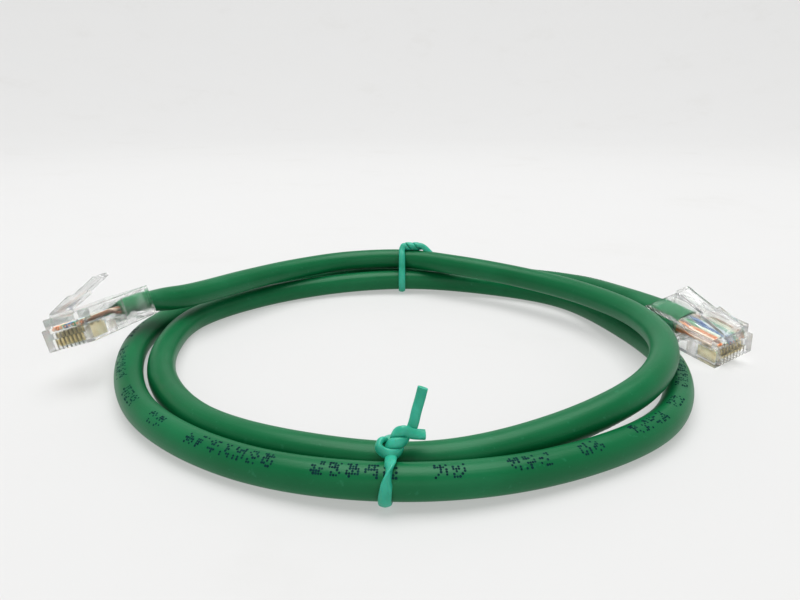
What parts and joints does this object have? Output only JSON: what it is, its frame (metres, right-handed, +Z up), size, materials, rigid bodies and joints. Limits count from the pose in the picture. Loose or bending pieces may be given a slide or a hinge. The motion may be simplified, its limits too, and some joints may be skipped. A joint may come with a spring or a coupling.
{
  "type": "ethernet patch cable",
  "caption": "Coiled UTP ethernet patch cable with clear modular plugs, sprung locking latches, contact blades, coloured conductors and twist ties.",
  "frame": {"origin": "bottom centre of the whole part, on the surface it lies on", "axes": "+X along the longer side of the coil, from the first plug to the second; +Y towards the back of the coil; +Z up"},
  "size_m": [0.1514, 0.1324, 0.021],
  "materials": {
    "jacket": "satin green PVC",
    "clear_plastic": "clear polycarbonate",
    "contact": "gold-plated",
    "tie": "soft plastic coating",
    "wire_white_orange": "coloured insulation",
    "wire_orange": "coloured insulation",
    "wire_white_green": "coloured insulation",
    "wire_blue": "coloured insulation",
    "wire_white_blue": "coloured insulation",
    "wire_green": "coloured insulation",
    "wire_white_brown": "coloured insulation",
    "wire_brown": "coloured insulation"
  },
  "bodies": {
    "cable": {"cable_jacket": "jacket", "plug_a_housing": "clear_plastic", "plug_a_contact_1": "contact", "plug_a_contact_2": "contact", "plug_a_contact_3": "contact", "plug_a_contact_4": "contact", "plug_a_contact_5": "contact", "plug_a_contact_6": "contact", "plug_a_contact_7": "contact", "plug_a_contact_8": "contact", "plug_a_wire_1_white_orange": "wire_white_orange", "plug_a_wire_2_orange": "wire_orange", "plug_a_wire_3_white_green": "wire_white_green", "plug_a_wire_4_blue": "wire_blue", "plug_a_wire_5_white_blue": "wire_white_blue", "plug_a_wire_6_green": "wire_green", "plug_a_wire_7_white_brown": "wire_white_brown", "plug_a_wire_8_brown": "wire_brown", "plug_b_housing": "clear_plastic", "plug_b_contact_1": "contact", "plug_b_contact_2": "contact", "plug_b_contact_3": "contact", "plug_b_contact_4": "contact", "plug_b_contact_5": "contact", "plug_b_contact_6": "contact", "plug_b_contact_7": "contact", "plug_b_contact_8": "contact", "plug_b_wire_1_white_orange": "wire_white_orange", "plug_b_wire_2_orange": "wire_orange", "plug_b_wire_3_white_green": "wire_white_green", "plug_b_wire_4_blue": "wire_blue", "plug_b_wire_5_white_blue": "wire_white_blue", "plug_b_wire_6_green": "wire_green", "plug_b_wire_7_white_brown": "wire_white_brown", "plug_b_wire_8_brown": "wire_brown", "twist_tie_front": "tie", "twist_tie_back": "tie"},
    "latch_a": {"plug_a_latch": "clear_plastic"},
    "latch_b": {"plug_b_latch": "clear_plastic"}
  },
  "joints": [
    {"name": "latch_a_press", "type": "hinge", "parent": "cable", "child": "latch_a", "pos_m": [-0.07063, -0.01903, 0.01645], "axis": [-0.9229, 0.2275, -0.3105], "range_deg": [0, 13.5], "stiffness_Nm_per_rad": 0.5},
    {"name": "latch_b_press", "type": "hinge", "parent": "cable", "child": "latch_b", "pos_m": [0.06939, -0.00632, 0.00833], "axis": [-0.8721, -0.4497, -0.1927], "range_deg": [0, 13.5], "stiffness_Nm_per_rad": 0.5}
  ]
}
